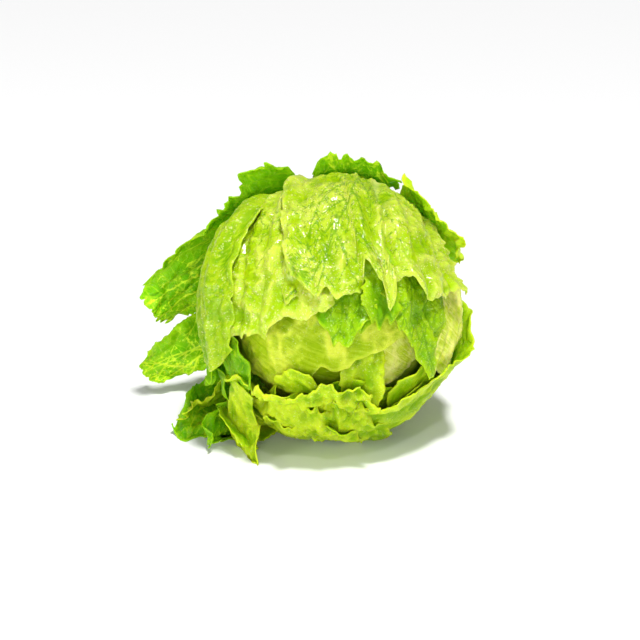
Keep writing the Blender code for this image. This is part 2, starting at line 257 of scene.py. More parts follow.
LEAVES = {
    "heart_rib_leaf": Leaf(
        layer=1, finish="rib", path=((105, 6), (60, 12), (33, 4), (14, -24)), left=(18, 22, 20, 16),
        right=(18, 24, 22, 18), tip=((-1, 10), (-0.5, 2), (0, 0), (0.5, 2), (1, 10)), torn=(0.0015, 0.0004),
        ruffle=0.0005, crease=0.0003,
    ),
    "heart_left_leaf": Leaf(
        layer=1, finish="heart", cell=PLAIN_CELL, path=((-150, -20), (-100, -12), (-55, -14), (-14, -18)),
        left=(20, 30, 32, 24), right=(20, 32, 34, 26), tip=((-1, 10), (-0.5, 2), (0, 0), (0.5, 2), (1, 10)),
        torn=(0.002, 0.0005), ruffle=0.0005, crease=0.0004,
    ),
    "heart_fold_leaf": Leaf(
        layer=2, finish="shaded", path=((150, -55), (20, -72), (8, -42), (8, -16)), left=(18, 24, 22, 14),
        lift=(0, 0, 0, 0.02), tip=((-1, 12), (-0.7, 5), (-0.4, 2), (0, 0), (0.5, 4), (1, 10)),
        torn=(0.003, 0.0006), ruffle=0.001, crease=0.0005,
    ),
    "heart_front_leaf": Leaf(
        layer=3, finish="heart", path=((-165, 40), (-80, 70), (-22, 42), (-17, 2), (-16, -26)),
        left=(26, 40, 46, 48, 42), right=(26, 38, 46, 48, 44),
        tip=(
            (-1, 27), (-0.75, 22), (-0.5, 19), (-0.42, 15), (-0.3, 13), (-0.15, 17), (-0.07, 13), (0.02, 4),
            (0.1, 1), (0.45, 0), (1, 0),
        ),
        torn=(0.0012, 0.0004), ruffle=0.0006, crease=0.0005,
    ),
    "inner_top_leaf": Leaf(
        layer=4, finish="shaded", path=((175, 40), (120, 76), (12, 50), (4, 8)), left=(16, 20, 20, 14),
        tip=((-1, 12), (-0.6, 5), (-0.3, 1), (0, 2), (0.3, 9), (0.6, 12), (1, 16)), torn=(0.0022, 0.0006),
        ruffle=0.001, crease=0.0008,
    ),
    "inner_side_leaf": Leaf(
        layer=4, finish="shaded", cell=PLAIN_CELL, path=((122, -8), (90, -2), (62, -4), (43, -13)),
        left=(12, 20, 18, 12), right=(12, 20, 20, 14), tip=((-1, 8), (-0.5, 2), (0, 0), (0.5, 4), (1, 10)),
        torn=(0.002, 0.0005), ruffle=0.0012, crease=0.0006,
    ),
    "under_wrapper_leaf": Leaf(
        layer=5, finish="shaded", path=((158, 35), (125, 66), (60, 58), (37, 26), (32, -2)),
        left=(16, 24, 26, 24, 18), right=(16, 22, 22, 18, 14),
        tip=((-1, 8), (-0.75, 2), (-0.55, 5), (-0.3, 1), (0, 2), (0.25, 6), (0.5, 10), (0.75, 18), (1, 24)),
        torn=(0.0044, 0.0014), ruffle=0.0014, crease=0.0018,
        folds=((-0.35, 0.16, -0.0012, 0.7, 1), (0.3, 0.2, 0.001, 0.7, 1)),
    ),
    "inner_cup_leaf": Leaf(
        layer=5, finish="cup", cell=PLAIN_CELL, path=((135, -40), (85, -54), (50, -44), (30, -29)),
        left=(16, 20, 20, 16), tip=((-1, 9), (-0.5, 2), (0, 0), (0.5, 2), (1, 9)), torn=(0.002, 0.0006),
        ruffle=0.0012, crease=0.0006,
    ),
    "left_wrapper_leaf": Leaf(
        layer=6, finish="wrapper", path=((178, 35), (-150, 62), (-60, 56), (-38, 28), (-34, -2)),
        left=(20, 28, 30, 30, 28), right=(20, 24, 24, 24, 22), lift=(0, 0, 0, 0, 0.01),
        tip=(
            (-1, 20), (-0.8, 17), (-0.7, 12), (-0.5, 15), (-0.3, 13), (-0.05, 6), (0.2, 7), (0.4, 6),
            (0.6, 5), (0.8, 2), (1, 0),
        ),
        torn=(0.0034, 0.0014), ruffle=0.0016, crease=0.0016, curl=(0.0005, 0, 0.001),
        folds=(
            (0.72, 0.07, 0.002, 0.3, 1), (0.55, 0.06, -0.0016, 0.35, 1), (0.38, 0.07, 0.0014, 0.4, 1),
            (0.12, 0.08, -0.0012, 0.5, 1), (-0.05, 0.09, 0.0014, 0.5, 1), (-0.3, 0.07, -0.001, 0.5, 1),
        ),
    ),
    "right_cup_leaf": Leaf(
        layer=6, finish="cup", cell=PLAIN_CELL,
        path=((128, -16), (98, -24), (72, -42), (30, -60), (-25, -60)), left=(20, 26, 28, 26, 20),
        right=(14, 18, 29, 32, 28), flare=(0, 0.11), tip=((-1, 12), (-0.5, 4), (0, 0), (0.5, 4), (1, 12)),
        torn=(0.0045, 0.0015), ruffle=0.0026, crease=0.001, curl=(-0.002, 0, -0.0015),
    ),
    "front_cup_leaf": Leaf(
        layer=7, finish="cup", path=((165, -55), (-100, -78), (-25, -56), (-20, -22)),
        left=(20, 30, 36, 34), right=(20, 30, 34, 26), lift=(0, 0, 0, 0.03),
        tip=(
            (-1, 14), (-0.85, 9), (-0.7, 13), (-0.55, 12), (-0.35, 3), (-0.1, 0), (0.1, 5), (0.3, 4),
            (0.45, 9), (0.6, 2), (0.75, 8), (1, 10),
        ),
        torn=(0.0045, 0.0017), ruffle=0.0034, crease=0.0022, frill=(0.0044, 0.01), curl=(-0.0055, 0, 0),
    ),
    "top_wrapper_leaf": Leaf(
        layer=7, finish="wrapper", path=((152, 42), (100, 74), (34, 54), (27, 16)), left=(26, 38, 42, 44),
        right=(26, 40, 44, 47), lift=(0, 0, 0, 0.02),
        tip=(
            (-1, 5), (-0.85, 8), (-0.6, 5), (-0.35, 4), (-0.16, 6), (-0.06, 14), (0.07, 13), (0.14, 3),
            (0.17, 1), (0.21, 12), (0.32, 22), (0.37, 10), (0.51, 8), (0.61, 8), (0.68, 15), (0.75, 11),
            (1, 24),
        ),
        torn=(0.0032, 0.0015), ruffle=0.0018, crease=0.0017, calm=(1, 0.2), curl=(0.0022, 0.0005, 0.0008),
        folds=(
            (0.9, 0.06, 0.0018, 0.5, 0.95), (0.8, 0.04, -0.0014, 0.4, 0.95),
            (0.34, 0.035, -0.0026, 0.62, 1), (0.26, 0.04, 0.002, 0.6, 1), (0.02, 0.05, -0.0034, 0.5, 1),
            (-0.12, 0.07, 0.0028, 0.5, 1), (-0.27, 0.05, -0.0018, 0.55, 1), (0.5, 0.08, 0.0016, 0.5, 1),
            (-0.5, 0.1, 0.0014, 0.5, 1), (-0.72, 0.08, -0.0014, 0.4, 1),
        ),
    ),
    "far_left_leaf": Leaf(
        layer=8, finish="band", path=((-160, 12), (-128, 32), (-98, 30), (-84, 4), (-76, -24)),
        left=(18, 22, 29, 37, 30), right=(16, 20, 20, 16, 12), lift=(0, 0, 0.01, 0.03, 0.06),
        tip=((-1, 12), (-0.7, 4), (-0.4, 9), (-0.1, 1), (0.2, 6), (0.6, 2), (1, 8)), torn=(0.0025, 0.0008),
        ruffle=0.0022, crease=0.0015, calm=(0.2, 1), curl=(0, -0.0046, 0),
        folds=(
            (-0.66, 0.12, 0.003, 0.2, 0.95), (-0.4, 0.07, -0.0012, 0.3, 1), (-0.24, 0.08, 0.0012, 0.3, 1),
        ),
    ),
    "back_right_leaf": Leaf(
        layer=8, finish="bright", cell=PLAIN_CELL, path=((138, 14), (116, 34), (95, 43), (79, 42)),
        left=(16, 18, 17, 14), right=(16, 22, 24, 22), lift=(0, 0.02, 0.06, 0.12), round=(1, 1, 0.9, 0.8),
        tip=((-1, 20), (-0.6, 14), (-0.2, 12), (0.3, 9), (0.6, 12), (1, 18)), torn=(0.0035, 0.001),
        ruffle=0.003, crease=0.0014, frill=(0.0035, 0.009), curl=(0.002, 0.0015, 0.0015),
    ),
    "pointed_leaf": Leaf(
        layer=9, finish="cup", rest=0.0024, cell=PLAIN_CELL,
        path=((-172, -36), (-122, -48), (-84, -53), (-60, -43), (-38, -44)), left=(10, 12, 12, 11, 2),
        right=(12, 14, 14, 11, 2), lift=(0, 0.01, 0.03, 0.12, 0.24), round=(1, 1, 0.8, 0.3, 0),
        tip=((-1, 9), (1, 9)), torn=(0.002, 0.0007), ruffle=0.0016, crease=0.001,
    ),
    "back_top_leaf": Leaf(
        layer=9, finish="outer", cell=PLAIN_CELL, path=((172, 22), (170, 46), (165, 64), (161, 74)),
        left=(14, 16, 16, 15), lift=(0, 0, 0.01, 0.09), round=(1, 1, 0.9, 0.6),
        tip=((-1, 7), (-0.6, 3), (-0.2, 0), (0.1, 1), (0.4, 6), (0.7, 4), (1, 10)), torn=(0.0085, 0.003),
        ruffle=0.0022, crease=0.0012,
    ),
    "back_left_leaf": Leaf(
        layer=10, finish="outer", cell=PLAIN_CELL, path=((-165, 4), (-140, 10), (-118, 8), (-103, -2)),
        left=(24, 46, 68, 62), right=(20, 24, 22, 20), lift=(0, 0, 0.15, 0.47), round=(1, 0.9, 0.7, 0.6),
        tip=(
            (-1, 46), (-0.7, 42), (-0.5, 39), (-0.28, 31), (-0.18, 21), (-0.1, 15), (0, 7), (0.15, 1),
            (0.4, 0), (0.7, 1), (0.85, 4), (1, 8),
        ),
        torn=(0.005, 0.0016), ruffle=0.0034, crease=0.0018, vein_height=0.0004, frill=(0.0045, 0.012),
    ),
    "back_low_leaf": Leaf(
        layer=11, finish="outer", path=((-168, -14), (-138, -20), (-118, -23), (-108, -24)),
        left=(16, 19, 13, 5), right=(12, 11, 10, 8), lift=(0, 0.03, 0.28, 0.68), round=(1, 0.8, 0.3, 0.1),
        tip=((-1, 6), (-0.5, 1), (0, 0), (0.5, 1), (1, 6)), torn=(0.0025, 0.001), ruffle=0.003,
        crease=0.0014, vein_height=0.0004, frill=(0.004, 0.01),
    ),
    "floor_leaf": Leaf(
        layer=12, finish="green", cell=PLAIN_CELL, path=((180, -38), (-130, -44), (-92, -43), (-68, -43)),
        left=(12, 12, 14, 19), right=(16, 16, 16, 18), lift=(0, 0, 0.1, 0.24), round=(1, 0.7, 0.3, 0.1),
        roll=(0, 6, 26, 40), tip=((-1, 8), (-0.6, 1), (-0.3, 6), (0, 0), (0.4, 3), (1, 9)),
        torn=(0.0035, 0.001), ruffle=0.003, crease=0.0014, vein_height=0.0004, frill=(0.0045, 0.009),
    ),
    "middle_lobe": Leaf(
        layer=5.6, finish="shaded", start=(2, 50), path=((2, 36), (1, 22), (0, 3)), left=(11, 12, 9),
        right=(11, 13, 9), lift=(0, 0, 0.01),
        tip=((-1, 12), (-0.6, 5), (-0.25, 0), (0.1, 3), (0.4, 1), (0.7, 8), (1, 14)), torn=(0.0048, 0.0014),
        ruffle=0.0022, crease=0.0016, folds=((0.3, 0.16, 0.0014, 0.3, 1), (-0.1, 0.12, -0.0014, 0.3, 1)),
    ),
    "notch_lobe": Leaf(
        layer=6.1, finish="shaded", start=(19, 46), path=((20, 35), (19, 23), (16, 9)), left=(7, 8, 7),
        right=(8, 9, 7), lift=(0, 0.005, 0.015),
        tip=((-1, 9), (-0.6, 3), (-0.3, 6), (0, 0), (0.35, 4), (0.6, 1), (1, 9)), torn=(0.004, 0.0014),
        ruffle=0.0022, crease=0.0016, folds=((0.2, 0.2, 0.0012, 0.2, 1),),
    ),
    "tucked_lobe": Leaf(
        layer=6.3, finish="wrapper", start=(-19, 44), path=((-20, 34), (-21, 26), (-21, 19)),
        left=(8, 9, 7), lift=(-0.01, -0.005, 0.015), tip=((-1, 7), (-0.5, 1), (0, 3), (0.5, 0), (1, 7)),
        torn=(0.0025, 0.0008), ruffle=0.0016, crease=0.001,
    ),
    "spiky_lobe": Leaf(
        layer=4.7, finish="shaded", start=(36, 14), path=((38, 5), (41, -7), (46, -19)), left=(5, 5, 1.5),
        right=(6, 5, 1.5), lift=(0, 0.02, 0.03), tip=((-1, 1), (0, 0), (1, 1)), torn=(0.002, 0.0008),
        ruffle=0.0012, crease=0.0012,
    ),
    "folded_lobe": Leaf(
        layer=3.3, finish="cup", start=(-18, -27), rise=-0.02, path=((-19, -22), (-23, -16), (-26, -11)),
        left=(11, 12, 9), right=(9, 11, 9), lift=(0.02, 0.035, 0.03),
        tip=((-1, 7), (-0.6, 1), (-0.2, 2), (0, 0), (0.5, 1), (1, 7)), torn=(0.0016, 0.0006), ruffle=0.001,
        crease=0.001,
    ),
    "curled_lobe": Leaf(
        layer=2.4, finish="cup", start=(14, 14), rise=-0.03, path=((13, -1), (12, -14), (11, -36)),
        left=(8, 7, 6), right=(9, 12, 9), lift=(-0.02, 0.005, 0.035),
        tip=((-1, 1), (-0.5, 0), (0, 4), (0.5, 1), (1, 7)), torn=(0.0022, 0.0006), ruffle=0.0018,
        crease=0.001, curl=(0.001, 0.0035, 0),
        folds=((0.3, 0.16, -0.0016, 0.2, 1), (-0.2, 0.2, 0.001, 0.2, 1)),
    ),
    "side_lobe": Leaf(
        layer=4.0, finish="cup", start=(54, -54), path=((46, -42), (40, -29), (42, -12)), left=(10, 14, 11),
        right=(10, 12, 9), lift=(0, 0.01, 0.02), tip=((-1, 9), (-0.5, 4), (0, 0), (0.5, 2), (1, 9)),
        torn=(0.0015, 0.0005), ruffle=0.0012, crease=0.0007, curl=(0.001, 0, 0),
    ),
    "rib_lobe": Leaf(
        layer=4.6, finish="rib", start=(112, 22), path=((90, 17), (69, 1), (54, -22)), left=(15, 18, 14),
        right=(14, 18, 12), lift=(0, 0.01, 0.03), tip=((-1, 5), (-0.5, 0), (0, 2), (0.5, 1), (1, 6)),
        torn=(0.002, 0.0006), ruffle=0.0014, crease=0.001,
        folds=((-0.2, 0.2, 0.0014, 0, 1), (0.35, 0.14, -0.001, 0, 1)),
    ),
    "shade_lobe": Leaf(
        layer=6.5, finish="green", start=(-72, 18), path=((-62, 0), (-59, -14), (-58, -31)),
        left=(12, 16, 13), lift=(0, 0.01, 0.04),
        tip=((-1, 9), (-0.6, 2), (-0.2, 6), (0.1, 0), (0.5, 5), (1, 9)), torn=(0.0035, 0.0009),
        ruffle=0.0024, crease=0.0012,
    ),
    "low_shade_lobe": Leaf(
        layer=7.6, finish="green", start=(-92, -4), path=((-80, -18), (-74, -28), (-68, -37)),
        left=(9, 11, 8), right=(9, 13, 10), lift=(0, 0.05, 0.1),
        tip=((-1, 8), (-0.6, 1), (-0.2, 6), (0.2, 0), (0.6, 5), (1, 9)), torn=(0.0035, 0.0009),
        ruffle=0.003, crease=0.0012,
    ),
    "yellow_floor_lobe": Leaf(
        layer=9, finish="cup", start=(-95, -36), rest=0.003, path=((-91, -39), (-89, -36), (-84, -34)),
        left=(7, 8, 7), right=(7, 8, 6), lift=(0.18, 0.34, 0.46), round=(0.6, 0.3, 0.2),
        tip=((-1, 5), (-0.5, 1), (-0.1, 3), (0.3, 0), (1, 5)), torn=(0.003, 0.0009), ruffle=0.0024,
        crease=0.0014, frill=(0.0035, 0.008),
    ),
    "green_floor_lobe": Leaf(
        layer=9, finish="green", start=(-84, -40), rest=0.004, path=((-76, -43), (-67, -42), (-59, -42)),
        left=(7, 9, 8), right=(7, 10, 8), lift=(0.1, 0.26, 0.42), round=(0.6, 0.3, 0.2),
        tip=((-1, 6), (-0.6, 1), (-0.2, 4), (0.2, 0), (0.6, 3), (1, 6)), torn=(0.0035, 0.001),
        ruffle=0.0024, crease=0.0014, frill=(0.0035, 0.008),
    ),
    "left_lining": Leaf(
        layer=4.0, finish="outer", start=(-112, -4), path=((-97, -16), (-82, -24), (-67, -30)),
        left=(14, 16, 12), right=(14, 17, 13), tip=((-1, 8), (-0.5, 2), (0, 0), (0.5, 3), (1, 9)),
        torn=(0.0035, 0.001), ruffle=0.0016, crease=0.0012,
    ),
    "hanging_lobe": Leaf(
        layer=9, finish="cup", start=(-47, -22), path=((-53, -31), (-54, -40), (-47, -45), (-38, -45)),
        left=(7, 10, 9, 1), lift=(0.03, 0.1, 0.2, 0.3), round=(1, 0.8, 0.4, 0.2), tip=((-1, 0), (1, 0)),
        torn=(0.0016, 0.0006), ruffle=0.0016, crease=0.0012,
    ),
    "left_frill": Leaf(
        layer=8.6, finish="green", start=(-84, 6), path=((-80, -8), (-76, -18), (-72, -27)),
        left=(9, 13, 11), right=(7, 9, 9), lift=(0, 0.03, 0.08),
        tip=((-1, 7), (-0.6, 1), (-0.2, 5), (0.2, 0), (0.6, 4), (1, 8)), torn=(0.0035, 0.0009),
        ruffle=0.003, crease=0.0014, frill=(0.0035, 0.007),
    ),
    "low_frill": Leaf(
        layer=7.5, finish="cup", start=(-28, -70), path=((-28, -58), (-28, -46), (-27, -35)),
        left=(24, 28, 32), right=(24, 28, 30), lift=(0, 0.01, 0.03),
        tip=(
            (-1, 8), (-0.75, 2), (-0.5, 8), (-0.3, 1), (0, 7), (0.2, 2), (0.4, 9), (0.6, 3), (0.8, 8),
            (1, 10),
        ),
        torn=(0.005, 0.0018), ruffle=0.0026, crease=0.0014, frill=(0.003, 0.014),
    ),
    "front_frill": Leaf(
        layer=4.5, finish="cup", start=(-20, -56), path=((-20, -44), (-20, -30), (-20, -14)),
        left=(26, 32, 38), right=(26, 32, 34), lift=(0, 0.01, 0.02),
        tip=(
            (-1, 9), (-0.8, 4), (-0.6, 10), (-0.4, 5), (-0.15, 9), (0.1, 6), (0.25, 2), (0.45, 0), (0.6, 6),
            (0.8, 2), (1, 9),
        ),
        torn=(0.0055, 0.0016), ruffle=0.0035, crease=0.0026, frill=(0.004, 0.01), curl=(0.003, 0, 0),
    ),
}


# ---- The shape of a leaf


def steady_slopes(knots, values):
    """Slopes that keep a curve through the values from swinging past them."""
    chords = np.diff(values) / np.diff(knots)
    before, after = chords[:-1], chords[1:]
    same_way = before * after > 0
    inner = np.where(same_way, 2 * before * after / np.where(same_way, before + after, 1), 0)
    return np.r_[chords[0], inner, chords[-1]]


def through(knots, values, slopes, at):
    """A smooth curve through values at knots, read at the places in at."""
    i = np.clip(np.searchsorted(knots, at) - 1, 0, len(knots) - 2)
    span = knots[i + 1] - knots[i]
    s = (at - knots[i]) / span
    if values.ndim > 1:
        span, s = span[:, None], s[:, None]
    start = (2 * s**3 - 3 * s**2 + 1) * values[i] + (s**3 - 2 * s**2 + s) * span * slopes[i]
    end = (3 * s**2 - 2 * s**3) * values[i + 1] + (s**3 - s**2) * span * slopes[i + 1]
    return start + end


class Spine:
    """A leaf's midrib against its length, with the leaf's half widths and roundness along it."""

    def __init__(self, leaf):
        self.radius = layer_radius(leaf.layer)
        if leaf.is_flap:
            root = direction(*leaf.start)
            base = FLAP_BASE_SHARE * leaf.left[0]
            neck = FLAP_NECK_SHARE * leaf.left[0]
        else:
            root = STEM
            base = math.degrees(LEAF_BASE_HALF_WIDTH / self.radius)
            neck = LEAF_NECK_GROWTH * base
        path = np.array([root] + [direction(*place) for place in leaf.path])
        lift = np.array((leaf.rise,) + leaf.lift, float)
        roundness = np.array((1,) + leaf.round, float)
        roll = np.radians((0,) + leaf.roll)
        widths = [np.radians((base, neck) + half) * self.radius for half in (leaf.left, leaf.right)]
        places = self.radius * (1 + lift)[:, None] * path
        knots = np.r_[0, np.cumsum(np.linalg.norm(np.diff(places, axis=0), axis=1))]
        width_knots = np.insert(knots, 1, LEAF_NECK_SHARE * knots[1])
        at = np.linspace(0, knots[-1], SPINE_SAMPLES)
        away = 1 + through(knots, lift, steady_slopes(knots, lift), at)
        course = unit(through(knots, path, np.gradient(path, knots, axis=0), at))
        self.point = self.radius * away[:, None] * course
        self.length = np.r_[0, np.cumsum(np.linalg.norm(np.diff(self.point, axis=0), axis=1))]
        self.tangent = unit(np.gradient(self.point, self.length, axis=0))
        normals = self.carried(root)
        angle = through(knots, roll, steady_slopes(knots, roll), at)[:, None]
        self.normal = normals * np.cos(angle) + np.cross(self.tangent, normals) * np.sin(angle)
        self.left, self.right = [np.interp(at, width_knots, width) for width in widths]
        self.curve = np.interp(at, knots, roundness) / (self.radius * away)

    def carried(self, normal):
        """The normal at the start, carried along the midrib without turning about it."""
        normals = []
        for tangent in self.tangent:
            turned = normal - (normal @ tangent) * tangent
            normal = turned / np.linalg.norm(turned)
            normals.append(normal)
        return np.array(normals)

    def read(self, values, along):
        if values.ndim == 1:
            return np.interp(along, self.length, values)
        return np.stack([np.interp(along, self.length, values[:, k]) for k in range(3)], axis=-1)

    @property
    def end(self):
        return self.length[-1]


def slump(points):
    """Draws in the side where the head has slumped, and gives every layer the same soft lumps."""
    outward = unit(points)
    angle = np.degrees(np.arccos(np.clip(outward @ direction(*SLUMP_TOWARDS), -1, 1)))
    points = points * (1 - SLUMP_SHARE * bell(angle, 0, SLUMP_SPREAD))[:, None]
    lumps = Waves(3)(*(outward * LUMPS_PER_RADIUS + 9).T)
    return points + outward * (LUMP_HEIGHT * lumps)[:, None]


def settle(points, rest=0):
    """Pushes what would lie below the table up onto it, with the layers above it kept in order."""
    outward = np.linalg.norm(points - CENTRE, axis=1)
    above = np.maximum(layer_radius(UNDER_LAYER) - outward, 0)
    below = rest + above + BLADE_THICKNESS / 2 + TABLE_GAP - points[:, 2]
    settled = points.copy()
    settled[:, 2] += np.maximum(below, 0)
    return settled


class VeinOrder(NamedTuple):
    """The veins of one order: the midrib is the first, its side veins the second, and so on."""

    half_width: float
    reach: float  # the midrib runs the whole blade
    spacing: float  # between its side veins
    lean: float  # angle at which they leave it
    wander: float  # how far it strays at each step, as an angle
    straighten: float  # how strongly it turns back towards the tip at each step
    centre: float  # how strongly it is drawn to the blade's middle


VEIN_ORDERS = (
    VeinOrder(0.0011, 0.0, 0.0090, 0.62, 0.010, 0.1, 2),
    VeinOrder(0.00075, 0.060, 0.0062, 0.80, 0.030, 0.006, 0),
    VeinOrder(0.0005, 0.022, 0.0050, 0.95, 0.05, 0, 0),
    VeinOrder(0.00038, 0.009, 0.0, 0.0, 0.07, 0, 0),
)


class Veins:
    """The branching veins of one blade, as points in its own flat coordinates, each with a half width."""

    def __init__(self, rng, length, half_width, start):
        self.points = []
        self.rng = rng
        self.length = length
        self.half_width = half_width
        self.walk(0.0, start, math.pi / 2, 0, length)

    def inside(self, x, y):
        return 0 < y < self.length and abs(x) < self.half_width(y, x)

    def walk(self, x, y, heading, order, reach):
        """Follows one vein, which wanders, thins and sends off side veins to the left and right in turn."""
        vein = VEIN_ORDERS[order]
        side = self.rng.choice((-1, 1))
        until = vein.spacing * self.rng.uniform(0.3, 1.1)
        bend = self.rng.normal(0, VEIN_BEND)
        walked = 0.0
        while walked < reach and self.inside(x, y):
            left = 1 - walked / reach
            self.points.append((x, y, vein.half_width * (VEIN_END_WIDTH + VEIN_SHRINK * left)))
            heading += self.rng.normal(0, vein.wander) + bend
            heading += (math.pi / 2 - heading) * vein.straighten - x * vein.centre
            x += math.cos(heading) * VEIN_STEP
            y += math.sin(heading) * VEIN_STEP
            walked += VEIN_STEP
            if order < len(VEIN_ORDERS) - 1 and walked > until:
                lean = vein.lean * self.rng.uniform(0.7, 1.25)
                reach_on = VEIN_ORDERS[order + 1].reach * self.rng.uniform(0.7, 1.3)
                self.walk(x, y, heading + side * lean, order + 1, reach_on)
                side = -side
                until = walked + vein.spacing * self.rng.uniform(0.6, 1.3)


def torn_back(waves, place, torn):
    """How far the margin is torn back at a place along it: lobes with teeth on them."""
    lobes, teeth = torn
    lobe = np.abs(waves.rough(place / LOBE)) ** RIDGE_POWER - 0.4
    tooth = np.abs(waves(place / TOOTH + 40)) + 0.6 * np.abs(waves(place / FINE_TOOTH + 90)) - 0.5
    return lobes * lobe * 1.6 + teeth * tooth


def ridged(noise):
    """Turns soft waves into sharp ridges with rounded hollows between them, from about -1 to 1."""
    return 1 - 2 * np.abs(noise) ** RIDGE_POWER


class Blade:
    """A leaf's blade over a grid: u runs from -1 to 1 across it, v from 0 at its start to 1 at the tip."""

    def __init__(self, name, leaf, u, v):
        self.leaf = leaf
        self.u = u
        self.v = v
        self.spine = Spine(leaf)
        self.seed = sum(ord(letter) * (place + 3) for place, letter in enumerate(name))
        self.waves = Waves(self.seed)
        self.lay_flat()
        self.crumple()

    def by_side(self, left, right):
        return np.where(self.u < 0, left, right)

    def ridges(self, size, across_shift, along_shift):
        """Sharp ridges with hollows between them; size is how far apart they are across and along."""
        wide, long = size
        across, along = self.across / wide + across_shift, self.along / long + along_shift
        return ridged(self.waves.rough(across, along, octaves=2))

    def shortfall(self):
        """How far the tip edge falls short of the midrib's end."""
        u, spine = self.u, self.spine
        places, falls = np.array(self.leaf.tip, float).T
        before = np.clip(np.searchsorted(places, u) - 1, 0, len(places) - 2)
        low, high = places[before], places[before + 1]
        step = ease(low, high, u) * 0.7 + (u - low) / (high - low) * 0.3
        short = np.radians(falls[before] + (falls[before + 1] - falls[before]) * step) * spine.radius
        widest = max(spine.left.max(), spine.right.max())
        torn = torn_back(self.waves, u * widest + 0.3, self.leaf.torn)
        return short + torn * (1 - 0.5 * np.abs(u) ** 8)

    def lay_flat(self):
        """Where each grid point lies across and along the flat blade, and how far it is from the margin."""
        u, v, spine = self.u, self.v, self.spine
        clear = 0 if self.leaf.is_flap else STEM_RADIUS + STEM_CLEARANCE
        self.first = spine.radius * math.asin(clear / spine.radius)
        self.reach = np.maximum(spine.end - self.shortfall() - self.first, SHORTEST_BLADE)
        along = self.first + v * self.reach
        half_width = self.by_side(spine.read(spine.left, along), spine.read(spine.right, along))
        torn = torn_back(Waves(self.seed + 1), along + self.by_side(0.2, 0.6), self.leaf.torn)
        torn = torn * ease(0.15, 0.4, v) * self.by_side(*self.leaf.calm)
        self.across = u * np.maximum(half_width - torn * np.abs(u) ** 3, NARROWEST_BLADE)
        if clear:
            round_stem = clear - np.sqrt(np.maximum(clear**2 - self.across**2, 0))
            along = along - round_stem * (1 - v) ** 6
        self.along = along
        self.to_tip = (1 - v) * self.reach
        self.to_side = (1 - np.abs(u)) * half_width
        self.to_margin = np.minimum(self.to_tip, self.to_side + 0.03 * ease(0.25, 0.05, v))

    def crumple(self):
        """How far each grid point stands off the layer, before its veins, and how the crumples lie."""
        leaf, waves, u, v = self.leaf, self.waves, self.u, self.v
        across, along, to_margin = self.across, self.along, self.to_margin
        free = ease(0.05, 0.35, v)
        ruffle = waves(across / RUFFLE + 5, along / RUFFLE)
        ruffle = ruffle + 0.5 * waves(across / FINE_RUFFLE, along / FINE_RUFFLE + 11)
        ruffle = leaf.ruffle * ruffle * ease(RUFFLED_RIM, 0, to_margin) * ease(0.1, 0.5, v)
        height, length = leaf.frill
        round_rim = np.where(self.to_tip < self.to_side, across, np.sign(u) * (self.spine.end - self.to_tip))
        frill = height * waves(round_rim / length + 60, to_margin / 0.02)
        frill = frill * ease(FRILLED_RIM, 0, to_margin) ** 1.3 * free
        long_way = self.ridges(LONG_CRUMPLE, 3, 8)
        puckers = self.ridges(PUCKER, 30, 18)
        self.relief = long_way + puckers
        self.off = self.by_side(*leaf.flare) * np.abs(u) ** 4 * self.spine.radius * np.sin(math.pi * v) ** 4
        tip_curl, left_curl, right_curl = leaf.curl
        self.off += tip_curl * ease(CURLED_RIM, 0, self.to_tip) ** 1.5
        side_curl = self.by_side(left_curl, right_curl) * ease(CURLED_RIM, 0, self.to_side) ** 1.5
        self.off += side_curl * ease(0.15, 0.5, v)
        for place, width, height, first, last in leaf.folds:
            wander = place + 0.03 * waves(v * 3 + place * 5)
            self.off += height * bell(u, wander, width) * ease(first - 0.1, min(first + 0.25, last), v)
        crease = leaf.crease * (0.9 * long_way + 0.7 * puckers) * free
        self.off = self.off + ruffle + crease + frill

    def vein_gaps(self):
        """How far each grid point is from the nearest vein, in half widths of that vein."""
        spine = self.spine

        def half_width(y, x):
            return float(np.interp(y, spine.length, spine.left if x < 0 else spine.right))

        rng = np.random.default_rng(self.seed)
        veins = Veins(rng, self.along.max(), half_width, self.first + VEIN_TO_BASE)
        x, y, width = np.array(veins.points).T
        half_widths = np.where(x < 0, spine.read(spine.left, y), spine.read(spine.right, y))
        rows, columns = self.u.shape
        i = np.round((x / half_widths + 1) / 2 * (rows - 1)).astype(int)
        i = np.clip(i, 0, rows - 1)
        j = np.round((y - self.first) / self.reach[i, 0] * (columns - 1)).astype(int)
        gaps = np.full(self.u.shape, VEIN_MARKED)
        near = range(-VEIN_SQUARES, VEIN_SQUARES + 1)
        for a, b in [(i + di, j + dj) for di in near for dj in near]:
            keep = (a >= 0) & (a < rows) & (b >= 0) & (b < columns)
            a, b = a[keep], b[keep]
            gap = np.hypot(self.across[a, b] - x[keep], self.along[a, b] - y[keep])
            np.minimum.at(gaps, (a, b), gap / width[keep])
        return gaps

    def rib(self):
        """1 on the pale rib that swells towards the stem, and 0 beside it; a flap has none."""
        if self.leaf.is_flap:
            return np.zeros(self.u.shape)
        half_width = RIB_HALF_WIDTH * (1 - RIB_NARROWING * ease(0, 0.75, self.v))
        return ease(1.6, 0.4, np.abs(self.across) / half_width)

    def points(self, lift):
        """Lays the flat blade along its midrib and round the head."""
        spine = self.spine
        across, along = self.across.ravel(), self.along.ravel()
        off = (self.off + lift).ravel()
        curve = spine.read(spine.curve, along)[:, None]
        normal = unit(spine.read(spine.normal, along))
        side = unit(np.cross(spine.read(spine.tangent, along), normal))
        x = across[:, None]
        sideways = x * np.sinc(curve * x / math.pi)
        inwards = curve * x**2 / 2 * np.sinc(curve * x / 2 / math.pi) ** 2
        out = normal * np.cos(curve * x) + side * np.sin(curve * x)
        surface = spine.read(spine.point, along) + side * sideways - normal * inwards
        return settle(CENTRE + slump(surface + out * off[:, None]), self.leaf.rest)


def select_nothing():
    for obj in bpy.context.selected_objects:
        obj.select_set(False)


